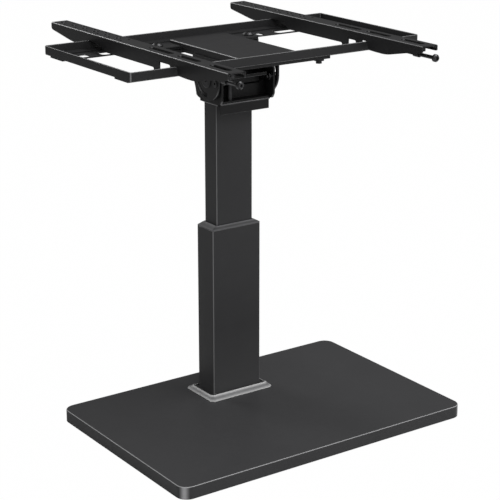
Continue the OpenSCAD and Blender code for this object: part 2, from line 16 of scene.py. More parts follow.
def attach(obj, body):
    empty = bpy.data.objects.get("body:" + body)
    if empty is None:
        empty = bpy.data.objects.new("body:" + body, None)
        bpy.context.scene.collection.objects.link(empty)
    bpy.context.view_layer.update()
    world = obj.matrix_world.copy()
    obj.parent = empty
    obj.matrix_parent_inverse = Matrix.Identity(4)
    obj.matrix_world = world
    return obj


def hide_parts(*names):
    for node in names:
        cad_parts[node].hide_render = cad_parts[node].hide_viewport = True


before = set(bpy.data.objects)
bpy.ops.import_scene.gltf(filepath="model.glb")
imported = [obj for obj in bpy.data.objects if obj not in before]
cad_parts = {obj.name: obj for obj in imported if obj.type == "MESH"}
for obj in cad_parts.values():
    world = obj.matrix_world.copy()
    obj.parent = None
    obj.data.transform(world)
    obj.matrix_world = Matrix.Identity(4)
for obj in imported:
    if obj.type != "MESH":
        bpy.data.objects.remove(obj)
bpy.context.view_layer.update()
scene = bpy.context.scene
MM = 0.001

# %% [markdown]
# ## Shader arithmetic
# Node trees read badly as lists of links. A small class wraps one output of a node, so that a pattern can be
# written as a sum or a product in plain Python. Each finish is an object of its own, with one method that
# adds any other kind of node: its settings first, then the values or links of its sockets. Two masks come
# back in several finishes: edges finds what faces neither forward, sideways nor up, and bands finds heights
# above the ground, given in millimetres. A colour ramp only reads from 0 to 1, so bands squeezes the height.

# %% A socket that can be added and multiplied
class Signal:
    def __init__(self, finish, socket):
        self.finish = finish
        self.socket = socket

    def _math(self, operation, first, second):
        return self.finish.add("ShaderNodeMath", {"operation": operation}, {0: first, 1: second})

    def __add__(self, other):
        return self._math("ADD", self, other)

    def __sub__(self, other):
        return self._math("SUBTRACT", self, other)

    def __mul__(self, other):
        return self._math("MULTIPLY", self, other)


# %% A finish: one material with its Principled shader
class Finish:
    def __init__(self, name, color, roughness, metallic=0.0, specular=0.5):
        self.material = bpy.data.materials.new(name)
        self.material.use_nodes = True
        self.tree = self.material.node_tree
        self.shader = self.tree.nodes["Principled BSDF"]
        self.shader.inputs["Base Color"].default_value = (*color, 1.0)
        self.shader.inputs["Roughness"].default_value = roughness
        self.shader.inputs["Metallic"].default_value = metallic
        self.shader.inputs["Specular IOR Level"].default_value = specular
        self.color = color

    def feed(self, socket, value):
        if isinstance(value, Signal):
            self.tree.links.new(value.socket, socket)
        elif isinstance(value, tuple) and len(value) == 3 and socket.type == "RGBA":
            socket.default_value = (*value, 1.0)
        else:
            socket.default_value = value

    def add(self, kind, settings=None, inputs=None, output=0):
        made = self.tree.nodes.new(kind)
        for key, value in (settings or {}).items():
            if key == "stops":
                ramp = made.color_ramp
                for at, level in value[2:]:
                    ramp.elements.new(at)
                for element, (at, level) in zip(ramp.elements, sorted(value)):
                    element.position = at
                    element.color = (level, level, level, 1.0)
            else:
                setattr(made, key, value)
        for key, value in (inputs or {}).items():
            self.feed(made.inputs[key], value)
        return Signal(self, made.outputs[output])

    def place(self, stretch=(1.0, 1.0, 1.0)):
        here = self.add("ShaderNodeTexCoord", output="Object")
        return self.add("ShaderNodeMapping", None, {"Vector": here, "Scale": stretch})

    def noise(self, scale, detail=2.0, rough=0.5, stretch=(1.0, 1.0, 1.0)):
        return self.add("ShaderNodeTexNoise", None,
                        {"Vector": self.place(stretch), "Scale": scale, "Detail": detail, "Roughness": rough})

    def spots(self, scale, smoothness=0.4):
        return self.add("ShaderNodeTexVoronoi", {"feature": "SMOOTH_F1"},
                        {"Vector": self.place(), "Scale": scale, "Smoothness": smoothness})

    def ramp(self, value, *stops):
        return self.add("ShaderNodeValToRGB", {"stops": list(stops)}, {"Fac": value})

    def tint(self, factor, dark, light):
        return self.add("ShaderNodeMix", {"data_type": "RGBA"},
                        {"Factor": factor, "A": dark, "B": light}, output=2)

    def edges(self, whole=0.76, gone=0.95):
        facing = self.add("ShaderNodeTexCoord", output="Normal")
        apart = self.add("ShaderNodeSeparateXYZ", None, {0: facing}).socket.node
        parts = [self.add("ShaderNodeMath", {"operation": "ABSOLUTE"}, {0: Signal(self, out)})
                 for out in apart.outputs]
        most = parts[0]._math("MAXIMUM", parts[0]._math("MAXIMUM", parts[0], parts[1]), parts[2])
        return self.ramp(most, (whole, 1.0), (gone, 0.0))

    def bands(self, *stops):
        here = self.add("ShaderNodeTexCoord", output="Object")
        height = self.add("ShaderNodeSeparateXYZ", None, {0: here}, output=2)
        squeeze = 3.0
        return self.ramp(height * squeeze, *[(at * squeeze * MM, level) for at, level in stops])

    def paint(self, color=None, roughness=None, height=None, depth=0.0001, strength=0.5):
        if color is not None:
            self.feed(self.shader.inputs["Base Color"], color)
        if roughness is not None:
            self.feed(self.shader.inputs["Roughness"], roughness)
        if height is not None:
            bump = self.add("ShaderNodeBump", None,
                            {"Height": height, "Distance": depth, "Strength": strength})
            self.feed(self.shader.inputs["Normal"], bump)
        return self.material


# %% [markdown]
# ## The finishes
# Powder coat is sprayed as dry powder and melted in an oven. It is never quite flat: it has a fine skin of
# shallow bumps, like the peel of an orange, with a grain under it, and it is a little duller where hands and
# cloths have rubbed it. Each black part gets the same recipe with its own tone and grain, because the base,
# the column and the head come out of different batches. The yoke gets a darker tone still, as painted shade
# for its place deep under the tray. Over a sharp bend the coat is smoother, and its colour is painted lighter
# there as a painted highlight. The foot of the column is painted a little lighter, as painted light thrown up
# from the base. The collar is satin, and its slopes are painted lighter than its flats, with painted
# highlights as bright ridges.

# %% Powder coat
# Painted light: the foot of the column is lighter between these heights, for light thrown up from the base.
PAINTED_FOOT_LIGHT_SPAN = 24.0, 120.0
# Painted highlights: bright bands at these heights along the collar's slopes.
COLLAR_HIGHLIGHT_BANDS = (19.3, 1.0), (20.0, 0.0), (22.7, 0.0), (23.4, 1.0)


def powder_coat(name, tone, roughness, edge, grain=700.0, peel=160.0, painted_foot_light=None, ridge_highlight=None):
    coat = Finish(name, (tone, tone, tone * 1.04), roughness, specular=0.2)
    cloud = coat.noise(9.0, 3.0)
    dust = coat.ramp(coat.noise(75.0, 5.0, 0.7), (0.55, 0.0), (0.78, 1.0))
    mask = cloud * 0.7 + dust * 0.3
    dark = tuple(c * 0.86 for c in coat.color)
    light = tuple(c * 1.18 for c in coat.color)
    skin = coat.noise(peel, 1.0) * 0.6 + coat.noise(grain, 2.0) * 0.4
    rubbed = coat.noise(22.0, 2.0, 0.6, (1.0, 1.0, 0.35))
    # On bends and slopes the colour turns lighter: a painted highlight.
    rim = coat.edges(0.89, 0.97) if ridge_highlight else coat.edges()
    faces = coat.tint(mask, dark, light)
    # The colour of the painted highlight on bends.
    edge_highlight = (edge, edge, edge * 1.02)
    # Painted light on the foot of the column.
    if painted_foot_light:
        low, high = PAINTED_FOOT_LIGHT_SPAN
        faces = coat.tint(coat.bands((low, painted_foot_light), (high, 0.0)), faces, (edge * 0.5, edge * 0.5, edge * 0.51))
    # Painted highlights in bright bands on the collar.
    if ridge_highlight:
        edge_highlight = coat.tint(coat.bands(*COLLAR_HIGHLIGHT_BANDS), edge_highlight, (ridge_highlight,) * 3)
    return coat.paint(coat.tint(rim, faces, edge_highlight),
                      rubbed * 0.12 + (roughness - 0.06) + dust * 0.05 - rim * 0.12, skin, 0.00006, 0.6)


# The third number is the colour of the painted highlight on bends.
base_coat = powder_coat("base_powder_coat", 0.044, 0.42, 0.38, 620.0, 140.0)
column_coat = powder_coat("column_powder_coat", 0.036, 0.42, 0.21, painted_foot_light=0.35)
head_coat = powder_coat("head_powder_coat", 0.022, 0.42, 0.18)
tray_coat = powder_coat("tray_powder_coat", 0.023, 0.46, 0.24)
arm_coat = powder_coat("arm_powder_coat", 0.021, 0.38, 0.18)
# The yoke's darker tone is painted shade for its place under the tray.
yoke_shaded_coat = powder_coat("yoke_powder_coat_painted_shade", 0.011, 0.46, 0.24)
collar_coat = powder_coat("collar_satin_coat_painted_highlights", 0.03, 0.32, 0.17, ridge_highlight=0.46)
print("powder coats:", 7)

# %% [markdown]
# Screws and nuts are black zinc: a thin grey-black chromate over bright metal, so they stay metallic and take
# a soft sheen. The turned and rolled marks run round the screw, which a stretched noise gives. Screws that
# nobody sees keep the plain bright zinc.

# %% Zinc on the fasteners
def zinc(name, tone, roughness, stretch):
    plate = Finish(name, (tone, tone, tone * 1.03), roughness, metallic=1.0)
    marks = plate.noise(260.0, 3.0, 0.6, stretch)
    blotch = plate.ramp(plate.noise(120.0, 4.0), (0.35, 0.0), (0.7, 1.0))
    dark = tuple(c * 0.75 for c in plate.color)
    light = tuple(c * 1.3 for c in plate.color)
    return plate.paint(plate.tint(blotch, dark, light), marks * 0.2 + (roughness - 0.08), marks, 0.00005, 0.4)


dark_zinc = zinc("black_zinc", 0.055, 0.40, (1.0, 1.0, 6.0))
screw_zinc = zinc("black_zinc_long_screw", 0.07, 0.34, (1.0, 6.0, 1.0))
bright_zinc = zinc("bright_zinc", 0.55, 0.32, (1.0, 1.0, 6.0))
print("zincs:", 3)

# %% [markdown]
# Moulded plastic has a spark-eroded grain from its mould, finer on the guide bush than on the knob. Rubber is
# darker and dull, with a faint bloom. The steel inside the base only has a grey primer, and the washers that
# brake the tilt are pressed fibre with short strands in it. The rim of the bush gets painted highlights:
# bright bands along its edges.

# %% Plastic, rubber, primer and fibre
def grained(name, color, roughness, grain, depth, highlight_bands=None):
    body = Finish(name, color, roughness, specular=0.4)
    pits = body.spots(grain)
    bloom = body.noise(35.0, 3.0)
    dark = tuple(c * 0.85 for c in color)
    light = tuple(c * 1.2 for c in color)
    shade = body.tint(bloom, dark, light)
    # Painted highlights: bright bands at the given heights.
    if highlight_bands:
        shade = body.tint(body.bands(*highlight_bands), shade, tuple(c * 2.6 for c in color))
    return body.paint(shade, bloom * 0.12 + (roughness - 0.06), pits, depth, 0.5)


# Heights of the painted highlights along the rim of the bush.
BUSH_HIGHLIGHT_BANDS = (265.3, 0.0), (265.8, 1.0), (266.6, 0.0), (268.9, 0.0), (269.7, 1.0)
bush_plastic = grained("bush_plastic", (0.052, 0.052, 0.054), 0.45, 900.0, 0.00004, BUSH_HIGHLIGHT_BANDS)
glide_plastic = grained("glide_plastic", (0.045, 0.045, 0.045), 0.5, 700.0, 0.00004)
knob_plastic = grained("knob_plastic", (0.03, 0.03, 0.032), 0.48, 650.0, 0.00008)
pad_rubber = grained("pad_rubber", (0.022, 0.022, 0.022), 0.8, 500.0, 0.00008)
primer = grained("grey_primer", (0.2, 0.2, 0.21), 0.6, 800.0, 0.00003)
friction_fibre = grained("friction_fibre", (0.12, 0.105, 0.09), 0.75, 420.0, 0.00012)
print("plain finishes:", 6)

# %% [markdown]
# ## Turning a bmesh into a piece
# Every piece ends the same way: doubles merged, normals made to point outwards, millimetres turned to metres,
# flat faces kept crisp while the bends are smooth. Then it is tied to its body, given its finish, and set in
# place of the plain solids it stands for.

# %% Finish a piece
def make_piece(bm, name, body, material, nodes, crease=32.0):
    bmesh.ops.remove_doubles(bm, verts=bm.verts, dist=0.0005)
    bmesh.ops.recalc_face_normals(bm, faces=bm.faces)
    bmesh.ops.scale(bm, vec=(MM, MM, MM), verts=bm.verts)
    mesh = bpy.data.meshes.new(name)
    bm.to_mesh(mesh)
    bm.free()
    mesh.polygons.foreach_set("use_smooth", [True] * len(mesh.polygons))
    mesh.set_sharp_from_angle(angle=radians(crease))
    mesh.materials.append(material)
    piece = bpy.data.objects.new(name, mesh)
    scene.collection.objects.link(piece)
    even = piece.modifiers.new("even_shading", "WEIGHTED_NORMAL")
    even.keep_sharp = True
    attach(piece, body)
    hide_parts(*nodes)
    print(name, "faces:", len(mesh.polygons))
    return piece


# %% [markdown]
# ## Loops with round corners
# Rounded outlines are everywhere on this stand. Four corners make one flat face, a vertex bevel rounds them,
# and the face is dropped again so that only its edge loop is left. Loops made with the same number of steps
# can be bridged, which turns a stack of outlines into walls and slopes.

# %% Rounded outline and walls between outlines
def edges_of(face_list):
    found = []
    for face in face_list:
        found.extend(face.edges)
    return list(set(found))


def rounded_outline(bm, corners, cut, steps=6, height=0.0):
    verts = [bm.verts.new((x, y, height)) for x, y in corners]
    cuts = cut if isinstance(cut, (list, tuple)) else [cut] * len(verts)
    face = bm.faces.new(verts)
    old = set(bm.faces) - {face}
    for vert, size in zip(verts, cuts):
        if size > 0:
            bmesh.ops.bevel(bm, geom=[vert], offset=size, offset_type="OFFSET", affect="VERTICES",
                            segments=steps, profile=0.5, material=-1, clamp_overlap=False)
    fresh = [f for f in bm.faces if f not in old]
    loop = edges_of(fresh)
    bmesh.ops.delete(bm, geom=fresh, context="FACES_ONLY")
    return loop


def rounded_rectangle(bm, width, depth, radius, height, middle=(0.0, 0.0), steps=6):
    x, y = middle
    corners = [(x - width / 2, y - depth / 2), (x + width / 2, y - depth / 2),
               (x + width / 2, y + depth / 2), (x - width / 2, y + depth / 2)]
    return rounded_outline(bm, corners, radius, steps, height)


def walls(bm, loops, closed=False):
    follow = loops[1:] + (loops[:1] if closed else [])
    for low, high in zip(loops, follow):
        bmesh.ops.bridge_loops(bm, edges=low + high)


def lid(bm, loop):
    bmesh.ops.contextual_create(bm, geom=loop)


# %% [markdown]
# ## Base pan
# The pan is one sheet with its sides folded down and its corners welded and ground round. Seen from above it
# is a plain slab, so the eye rests on three things: the plan radius of 16 mm, the thin bright bevel round the
# top, and the dark gap under the rim. Stacked outlines give all three, and the last ones run back inside to
# make the hollow. The bevel is made of three short slopes, so that it catches the light as a soft line, and
# the coat on it is painted lighter as a painted highlight.

# %% Base pan
BASE_W, BASE_D, BASE_MID, BASE_R, BASE_TOP = 467.0, 313.0, -83.5, 16.0, 18.0
PAN_SHEET = 2.0


def base_outline(bm, inset, height):
    return rounded_rectangle(bm, BASE_W - 2 * inset, BASE_D - 2 * inset, BASE_R - inset, height,
                             (0.0, BASE_MID), 10)


pan = bmesh.new()
pan_loops = [base_outline(pan, inset, height) for inset, height in [
    (PAN_SHEET, BASE_TOP - PAN_SHEET), (PAN_SHEET, 0.5), (0.3, 0.5), (0.0, 0.8), (0.0, 16.5), (0.14, 17.05),
    (0.5, 17.55), (0.98, 17.88), (1.5, BASE_TOP)]]
walls(pan, pan_loops)
lid(pan, pan_loops[0])
lid(pan, pan_loops[-1])
make_piece(pan, "base_pan", "base", base_coat, ["base_shell"], 40.0)

# %% [markdown]
# ## Collar
# A ring hides the joint at the foot of the column. Its corners are cut off and its sides slope up to a small
# flat ledge round the tube. An outline whose corners are bevelled in one step has cut corners, and the same
# outline with six steps has round ones, so one function draws both.

# %% Collar
COLUMN_W, COLUMN_D, COLUMN_R, COLUMN_TOP = 80.0, 40.0, 2.6, 264.5
collar = bmesh.new()
collar_loops = [rounded_rectangle(collar, w, d, r, z, steps=n) for w, d, r, z, n in [
    (106.0, 70.0, 5.5, BASE_TOP, 1), (106.0, 70.0, 5.5, 18.5, 1), (105.6, 69.5, 5.4, 18.9, 1),
    (94.6, 52.0, 3.6, 23.9, 1), (93.8, 51.0, 3.5, 24.3, 1), (91.6, 49.0, 3.4, 24.3, 1),
    (90.6, 48.0, 3.3, 23.7, 1), (90.2, 47.6, 3.2, 22.4, 1), (80.3, 40.3, COLUMN_R, 22.2, 6),
    (80.3, 40.3, COLUMN_R, BASE_TOP, 6)]]
walls(collar, collar_loops, closed=True)
make_piece(collar, "foot_collar", "base", collar_coat, ["column_collar"], 20.0)

# %% [markdown]
# ## Column tubes
# Both tubes are stock rectangular tube. Their corners are round, a little more than the wall is thick, and
# each shows as a thin bright line down the front of the column, from the light on the round and from the
# lighter colour painted there as a painted highlight. A closed ring of outlines, four outside and
# two inside, makes a tube with real walls and slightly broken ends.

# %% Tubes
INNER_W, INNER_D, INNER_R = 60.0, 30.0, 2.4
TUBE_WALL, TUBE_CHAMFER = 2.0, 0.25


def tube(name, width, depth, radius, low, high, body, node):
    bm = bmesh.new()
    loops = []
    for inset, z in [(TUBE_CHAMFER, low), (0.0, low + TUBE_CHAMFER), (0.0, high - TUBE_CHAMFER),
                     (TUBE_CHAMFER, high), (TUBE_WALL, high), (TUBE_WALL, low)]:
        loops.append(rounded_rectangle(bm, width - 2 * inset, depth - 2 * inset, max(radius - inset, 1.0), z,
                                       steps=8))
    walls(bm, loops, closed=True)
    return make_piece(bm, name, body, column_coat, [node])


tube("outer_tube", COLUMN_W, COLUMN_D, COLUMN_R, BASE_TOP, COLUMN_TOP, "base", "column_outer")
tube("inner_tube", INNER_W, INNER_D, INNER_R, 162.0, 443.6, "upper", "column_inner")

# %% [markdown]
# ## Guide bush
# The bush is moulded plastic: a sleeve between the tubes, with a rim that covers the cut end of the outer
# tube and slopes up to the inner one. It is the one lighter part of the column, so its slope matters.

# %% Guide bush
bush = bmesh.new()
bush_loops = [rounded_rectangle(bush, w, d, r, z) for w, d, r, z in [
    (75.9, 35.9, 1.0, COLUMN_TOP), (COLUMN_W, COLUMN_D, COLUMN_R, COLUMN_TOP),
    (COLUMN_W, COLUMN_D, COLUMN_R, 265.4), (79.5, 39.5, 2.5, 265.9), (64.2, 34.2, 2.9, 269.7),
    (63.2, 33.2, 2.9, 270.0), (61.4, 31.4, 2.8, 270.0), (60.6, 30.6, 2.7, 269.4), (60.6, 30.6, 2.7, 205.0),
    (75.9, 35.9, 1.0, 205.0)]]
walls(bush, bush_loops, closed=True)
make_piece(bush, "guide_rim", "base", bush_plastic, ["guide_bush"], 20.0)

# %% [markdown]
# ## Plates with holes
# Most of the head is laser-cut plate. The outline and its holes are drawn flat as edge loops, filled together
# so that the holes stay open, pulled to thickness, and turned into place. A hole is a circle, a long slot is
# a circle pulled apart in the middle, and a curved slot is spun about the pivot.

# %% Holes
def round_hole(bm, x, y, radius, steps=28):
    made = bmesh.ops.create_circle(bm, segments=steps, radius=radius,
                                   matrix=Matrix.Translation((x, y, 0.0)))
    return list({edge for vert in made["verts"] for edge in vert.link_edges})


def long_hole(bm, x, y, length, width, along_y=True, steps=24):
    made = bmesh.ops.create_circle(bm, segments=steps, radius=width / 2,
                                   matrix=Matrix.Rotation(pi / steps, 4, "Z"))
    reach = (length - width) / 2
    for vert in made["verts"]:
        side = 1.0 if (vert.co.y if along_y else vert.co.x) > 0 else -1.0
        shift = (0.0, side * reach, 0.0) if along_y else (side * reach, 0.0, 0.0)
        bmesh.ops.translate(bm, vec=shift, verts=[vert])
    bmesh.ops.translate(bm, vec=(x, y, 0.0), verts=made["verts"])
    return list({edge for vert in made["verts"] for edge in vert.link_edges})


def spun_edge(bm, start, centre, angle, steps):
    vert = bm.verts.new((*start, 0.0))
    made = bmesh.ops.spin(bm, geom=[vert], cent=(*centre, 0.0), axis=(0.0, 0.0, 1.0), angle=angle,
                          steps=steps)
    last = [item for item in made["geom_last"] if isinstance(item, bmesh.types.BMVert)][0]
    return vert, last


def welded_loop(bm, before):
    fresh = [vert for vert in bm.verts if vert not in before]
    bmesh.ops.remove_doubles(bm, verts=fresh, dist=0.002)
    fresh = [vert for vert in bm.verts if vert not in before]
    return list({edge for vert in fresh for edge in vert.link_edges})


def curved_hole(bm, radius, width, start, sweep, steps=22):
    before = set(bm.verts)
    inner, outer = radius - width / 2, radius + width / 2
    first = (cos(start), sin(start))
    last = (cos(start + sweep), sin(start + sweep))
    spun_edge(bm, (outer * first[0], outer * first[1]), (0.0, 0.0), sweep, steps)
    spun_edge(bm, (inner * first[0], inner * first[1]), (0.0, 0.0), sweep, steps)
    spun_edge(bm, (outer * last[0], outer * last[1]), (radius * last[0], radius * last[1]), pi, 8)
    spun_edge(bm, (inner * first[0], inner * first[1]), (radius * first[0], radius * first[1]), pi, 8)
    return welded_loop(bm, before)


# %% [markdown]
# A plate is drawn flat, so it needs a turn to stand up: ON_X makes it face along x and ON_Y along y. Only
# edges whose two faces meet at a clear angle are softened, and keep can spare those that will be hidden.

# %% Fill, thicken and turn a plate
ON_X = Matrix(((0, 0, 1, 0), (1, 0, 0, 0), (0, 1, 0, 0), (0, 0, 0, 1)))
ON_Y = Matrix(((1, 0, 0, 0), (0, 0, -1, 0), (0, 1, 0, 0), (0, 0, 0, 1)))
FLAT = Matrix.Identity(4)
CLEAR_ANGLE = 1.2


def plate(bm, outline, holes, thickness, turn, shift, soft=0.35, keep=None):
    loop = list(outline)
    for hole in holes:
        loop.extend(hole)
    filled = bmesh.ops.triangle_fill(bm, use_beauty=True, use_dissolve=False, edges=loop)
    faces = [item for item in filled["geom"] if isinstance(item, bmesh.types.BMFace)]
    pulled = bmesh.ops.extrude_face_region(bm, geom=faces, use_keep_orig=True)
    top = [item for item in pulled["geom"] if isinstance(item, bmesh.types.BMVert)]
    bmesh.ops.translate(bm, vec=(0.0, 0.0, thickness), verts=top)
    own = list({vert for face in faces for vert in face.verts} | set(top))
    bmesh.ops.recalc_face_normals(bm, faces=list({face for vert in own for face in vert.link_faces}))
    if soft > 0:
        rims = []
        for edge in {edge for vert in own for edge in vert.link_edges}:
            level = abs(edge.verts[0].co.z - edge.verts[1].co.z) < 0.001
            if level and len(edge.link_faces) == 2 and edge.calc_face_angle() > CLEAR_ANGLE:
                if keep is None or keep((edge.verts[0].co + edge.verts[1].co) / 2):
                    rims.append(edge)
        made = bmesh.ops.bevel(bm, geom=rims, offset=soft, offset_type="OFFSET", affect="EDGES", segments=2,
                               profile=0.5, material=-1, clamp_overlap=True)
        own = list({vert for vert in own if vert.is_valid} | set(made["verts"]))
    bmesh.ops.transform(bm, matrix=Matrix.Translation(shift) @ turn, verts=own)
    return own


def slab(bm, low, high, soft=0.35, steps=2):
    made = bmesh.ops.create_cube(bm, size=1.0)
    size = [b - a for a, b in zip(low, high)]
    bmesh.ops.scale(bm, vec=size, verts=made["verts"])
    bmesh.ops.translate(bm, vec=[(a + b) / 2 for a, b in zip(low, high)], verts=made["verts"])
    if soft > 0:
        rims = list({edge for vert in made["verts"] for edge in vert.link_edges})
        bmesh.ops.bevel(bm, geom=rims, offset=soft, offset_type="OFFSET", affect="EDGES", segments=steps,
                        profile=0.5, material=-1, clamp_overlap=True)


def bend(bm, x, z, radius, low, high, steps=28):
    turn = Matrix.Translation((x, (low + high) / 2, z)) @ Matrix.Rotation(pi / 2, 4, "X")
    bmesh.ops.create_cone(bm, cap_ends=True, segments=steps, radius1=radius, radius2=radius,
                          depth=high - low, matrix=turn)


# %% [markdown]
# ## Side plates
# Each side plate hangs from the bridge and turns on the pivot bolt. Its lower end is a half circle about the
# pivot, and two curved slots let the clamp bolts stay with the yoke while the plate turns 90 degrees.

# %% Side plates
PIVOT_Y, PIVOT_Z, FAN_R, SLOT_R = -22.0, 478.0, 28.5, 20.8
PLATE_T, PLATE_REACH, BOLT_R = 3.0, FAN_R + 5.5, 4.05


def side_plate(name, x, node):
    bm = bmesh.new()
    before = set(bm.verts)
    front, rear = spun_edge(bm, (-FAN_R, 0.0), (0.0, 0.0), pi, 36)
    upper = [bm.verts.new((y, z, 0.0)) for y, z in [
        (-FAN_R, 30.0), (PLATE_REACH - 1.0, 30.0), (PLATE_REACH, 29.0), (PLATE_REACH, 14.0)]]
    chain = [front] + upper + [rear]
    for pair in zip(chain, chain[1:]):
        bm.edges.new(pair)
    outline = welded_loop(bm, before)
    holes = [round_hole(bm, 0.0, 0.0, BOLT_R)]
    holes += [curved_hole(bm, SLOT_R, 5.6, radians(start), radians(90.0)) for start in (-85.0, 95.0)]
    plate(bm, outline, holes, PLATE_T, ON_X, (x, PIVOT_Y, PIVOT_Z), 0.7)
    return make_piece(bm, name, "tilt", head_coat, [node])


side_plate("right_side_plate", 46.5, "side_plate_right")
side_plate("left_side_plate", -49.5, "side_plate_left")

# %% [markdown]
# ## Yoke
# The yoke is screwed on top of the inner column. Its two ears carry the pivot, its floor sits on the column,
# and its front edge is folded down into a lip that closes the head from below. The lip's outer bend shows as
# the bright line under the head. A strip behind ties the ears together and closes the view through the head.

# %% Yoke
yoke = bmesh.new()
EAR_X, EAR_T, YOKE_LOW, YOKE_FLOOR = 43.5, 3.0, 443.6, 446.6
EAR = [(-48.5, 453.0), (-44.5, YOKE_FLOOR), (-3.6, YOKE_FLOOR), (7.4, 449.0), (12.5, 451.6), (13.0, 455.0),
       (15.0, 462.5), (18.0, 469.4), (18.0, PIVOT_Z), (8.0, 494.0), (-36.0, 498.0), (-48.5, 490.0)]
EAR_CUTS = [2.0, 1.0, 3.0, 2.0, 1.0, 1.0, 2.0, 2.0, 4.0, 5.0, 5.0, 4.0]
for x in (-EAR_X, EAR_X - EAR_T):
    ear = rounded_outline(yoke, EAR, EAR_CUTS, 4)
    ear_holes = [round_hole(yoke, PIVOT_Y, PIVOT_Z, BOLT_R)]
    for angle in (5.0, 185.0):
        ear_holes.append(round_hole(yoke, PIVOT_Y + SLOT_R * cos(radians(angle)),
                                    PIVOT_Z + SLOT_R * sin(radians(angle)), 2.55, 20))
    plate(yoke, ear, ear_holes, EAR_T, ON_X, (x, 0.0, 0.0))
FLOOR = [(-EAR_X, YOKE_LOW), (EAR_X, YOKE_LOW), (EAR_X, YOKE_FLOOR), (-EAR_X, YOKE_FLOOR)]
plate(yoke, rounded_outline(yoke, FLOOR, [2.98, 2.98, 0.0, 0.0], 6), [], 34.4, ON_Y, (0.0, -3.6, 0.0), 0.0)
slab(yoke, (-40.5, -3.7, YOKE_LOW), (40.5, 8.0, YOKE_FLOOR), 0.2)
LIP = [(-40.9, 432.0), (-37.9, 432.0), (-37.9, YOKE_LOW), (-30.0, YOKE_LOW), (-30.0, YOKE_FLOOR),
       (-40.9, YOKE_FLOOR)]
lip = rounded_outline(yoke, LIP, [0.4, 0.4, 1.2, 0.0, 0.0, 3.2], 6)
plate(yoke, lip, [], 77.8, ON_X, (-38.9, 0.0, 0.0))
slab(yoke, (-42.0, 8.4, 453.6), (42.0, 10.9, 482.0), 0.3)
make_piece(yoke, "head_yoke", "upper", yoke_shaded_coat, ["yoke"])

# %% [markdown]
# ## Cross channel
# A channel between the ears keeps them apart. Its web faces the front, and its upper flange is the short bar
# that shows under the tray.

# %% Cross channel
channel = bmesh.new()
CHANNEL_W = 2 * (EAR_X - EAR_T)
WEB = [(-27.0, YOKE_FLOOR), (-24.5, YOKE_FLOOR), (-24.5, 468.0), (-27.0, 468.0)]
plate(channel, rounded_outline(channel, WEB, 0.0), [], CHANNEL_W, ON_X, (-CHANNEL_W / 2, 0.0, 0.0), 0.2)
UPPER = [(-27.0, 466.0), (-24.5, 466.0), (-24.5, 483.5), (-45.0, 483.5), (-45.0, 479.3), (-27.0, 479.3)]
upper = rounded_outline(channel, UPPER, [0.0, 0.0, 2.6, 0.8, 0.8, 1.2], 5)
plate(channel, upper, [], 65.0, ON_X, (-32.5, 0.0, 0.0))
LOWER = [(-40.5, YOKE_FLOOR), (-26.0, YOKE_FLOOR), (-26.0, 450.2), (-27.0, 449.1), (-40.5, 449.1)]
plate(channel, rounded_outline(channel, LOWER, 0.0), [], CHANNEL_W, ON_X, (-CHANNEL_W / 2, 0.0, 0.0), 0.2)
make_piece(channel, "cross_tie", "upper", yoke_shaded_coat, ["cross_channel"])

# %% [markdown]
# ## Bridge
# The bridge is the plain panel in the middle of the tray. Its long edges are folded down, and the fold is
# what catches the light on both sides. The fold is a round bar sunk in the corner between the flat panel and
# the edge, so only a quarter of it shows. Deeper tabs reach behind the side plates, which are welded to them.

# %% Bridge
bridge = bmesh.new()
FOLD_X, FOLD_R, PANEL_Z, PANEL_FRONT, PANEL_REAR = 44.0, 2.5, 515.3, -105.0, 72.5
TAB_LOW, TAB_DIP = PIVOT_Z + 14.0, 20.47
slab(bridge, (-FOLD_X, PANEL_FRONT, PANEL_Z), (FOLD_X, PANEL_REAR, PANEL_Z + FOLD_R), 0.0)
for side in (-1.0, 1.0):
    bend(bridge, side * FOLD_X, PANEL_Z, FOLD_R, PANEL_FRONT, PANEL_REAR, 36)
    near, far = sorted((side * FOLD_X, side * (FOLD_X + FOLD_R)))
    slab(bridge, (near, -86.0, 510.4), (far, 43.0, PANEL_Z), 0.0)
    slab(bridge, (near + 0.06, -64.0, 506.0), (far - 0.06, -45.0, PANEL_Z), 0.0)
    inner, outer = sorted((side * 44.06, side * 45.3))
    slab(bridge, (inner, 0.0, 505.0), (outer, 43.0, PANEL_Z), 0.0)
    before = set(bridge.verts)
    start, end = spun_edge(bridge, (PIVOT_Y + TAB_DIP, TAB_LOW), (PIVOT_Y, PIVOT_Z),
                           pi - 2 * atan2(TAB_LOW - PIVOT_Z, TAB_DIP), 24)
    chain = [end] + [bridge.verts.new((y, z, 0.0)) for y, z in [
        (PIVOT_Y - FAN_R, TAB_LOW), (PIVOT_Y - FAN_R, 515.0), (PIVOT_Y + PLATE_REACH, 515.0),
        (PIVOT_Y + PLATE_REACH, TAB_LOW)]] + [start]
    for pair in zip(chain, chain[1:]):
        bridge.edges.new(pair)
    plate(bridge, welded_loop(bridge, before), [], 2.44, ON_X, (near + 0.03, 0.0, 0.0), 0.0)
make_piece(bridge, "bridge_panel", "tilt", head_coat, ["bridge"])

# %% [markdown]
# ## Cross bars
# Two steel bars under the tray take its bolts. The front one is flat, and the rear one has a flange down
# along its front edge. Thin packing plates fill the step between the tray's strips and the bridge.

